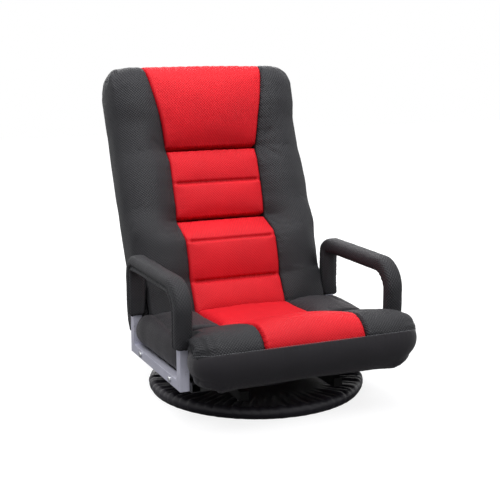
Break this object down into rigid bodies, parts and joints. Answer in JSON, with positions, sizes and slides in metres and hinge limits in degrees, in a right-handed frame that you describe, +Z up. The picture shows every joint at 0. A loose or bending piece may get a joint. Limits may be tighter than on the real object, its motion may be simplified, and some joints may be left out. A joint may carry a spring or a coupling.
{
  "type": "floor gaming chair",
  "caption": "Legless padded chair that swivels on a cloth-covered ring, with a ratchet reclining back, lumbar roll and looped padded arms.",
  "frame": {"origin": "on the floor, at the swivel axis in the middle of the base ring", "axes": "+Z up, the chair faces -Y, +X to the right of someone who looks at its front"},
  "size_m": [0.524, 0.6941, 0.6977],
  "materials": {
    "black_paint": "satin powder coat",
    "plated_steel": "zinc plated",
    "silver_paint": "fine silver-grey powder coat",
    "foot_rubber": "matt",
    "black_plastic": "moulded",
    "gathered_cloth": "slightly shiny gathered cloth",
    "red_mesh": "raised air mesh",
    "black_mesh": "raised air mesh",
    "black_cloth": "smooth woven cloth",
    "elastic_webbing": "ribbed elastic webbing"
  },
  "bodies": {
    "base": {"base_ring": "black_paint", "base_spokes": "black_paint", "base_feet": "foot_rubber", "base_cover": "gathered_cloth", "lower_swivel_plate": "black_paint", "bearing_balls": "plated_steel", "ball_cage": "black_plastic", "swivel_bolt": "plated_steel", "swivel_washer": "plated_steel", "swivel_nut": "plated_steel"},
    "seat": {"arm_bolts": "plated_steel", "arm_frame_left": "silver_paint", "arm_frame_right": "silver_paint", "arm_nuts": "plated_steel", "arm_pad_left": "black_mesh", "arm_pad_right": "black_mesh", "cross_tube_front": "black_paint", "cross_tube_rear": "black_paint", "front_border": "black_cloth", "front_roll_centre": "red_mesh", "front_roll_left": "black_mesh", "front_roll_right": "black_mesh", "hinge_cap_left": "black_mesh", "hinge_cap_right": "black_mesh", "hinge_pins": "plated_steel", "hinge_plate_left": "plated_steel", "hinge_plate_right": "plated_steel", "hinge_washers": "plated_steel", "pawl_pins": "plated_steel", "plate_bolts": "plated_steel", "rail_plugs": "black_plastic", "seat_centre": "red_mesh", "seat_rail_left": "black_paint", "seat_rail_right": "black_paint", "seat_springs": "plated_steel", "seat_tube_front": "black_paint", "seat_tube_rear": "black_paint", "seat_wedge_left": "black_cloth", "seat_wedge_right": "black_cloth", "spring_clips": "plated_steel", "swivel_rail_left": "black_paint", "swivel_rail_right": "black_paint", "upper_swivel_plate": "black_paint"},
    "back": {"back_bolster_left": "black_mesh", "back_bolster_right": "black_mesh", "back_centre": "red_mesh", "back_straps": "elastic_webbing", "back_tube_left": "black_paint", "back_tube_lower": "black_paint", "back_tube_right": "black_paint", "back_tube_top": "black_paint", "headrest_centre": "red_mesh", "lower_pad": "black_cloth", "lumbar_centre": "red_mesh", "ratchet_plate_left": "plated_steel", "ratchet_plate_right": "plated_steel", "rear_cover": "black_cloth"},
    "pawl_left": {"pawl_left": "plated_steel"},
    "pawl_right": {"pawl_right": "plated_steel"}
  },
  "joints": [
    {"name": "swivel", "type": "hinge", "parent": "base", "child": "seat", "pos_m": [0, 0, 0.024], "axis": [0, 0, 1], "continuous": true},
    {"name": "recline", "type": "hinge", "parent": "seat", "child": "back", "pos_m": [0, 0.165, 0.14], "axis": [-1, 0, 0], "range_deg": [-15, 60]},
    {"name": "pawl_left_lift", "type": "hinge", "parent": "seat", "child": "pawl_left", "pos_m": [-0.206, 0.127, 0.098], "axis": [1, 0, 0], "range_deg": [0, 6], "stiffness_Nm_per_rad": 0.2, "springref_deg": 17.19},
    {"name": "pawl_right_lift", "type": "hinge", "parent": "seat", "child": "pawl_right", "pos_m": [0.206, 0.127, 0.098], "axis": [1, 0, 0], "range_deg": [0, 6], "stiffness_Nm_per_rad": 0.2, "springref_deg": 17.19}
  ]
}
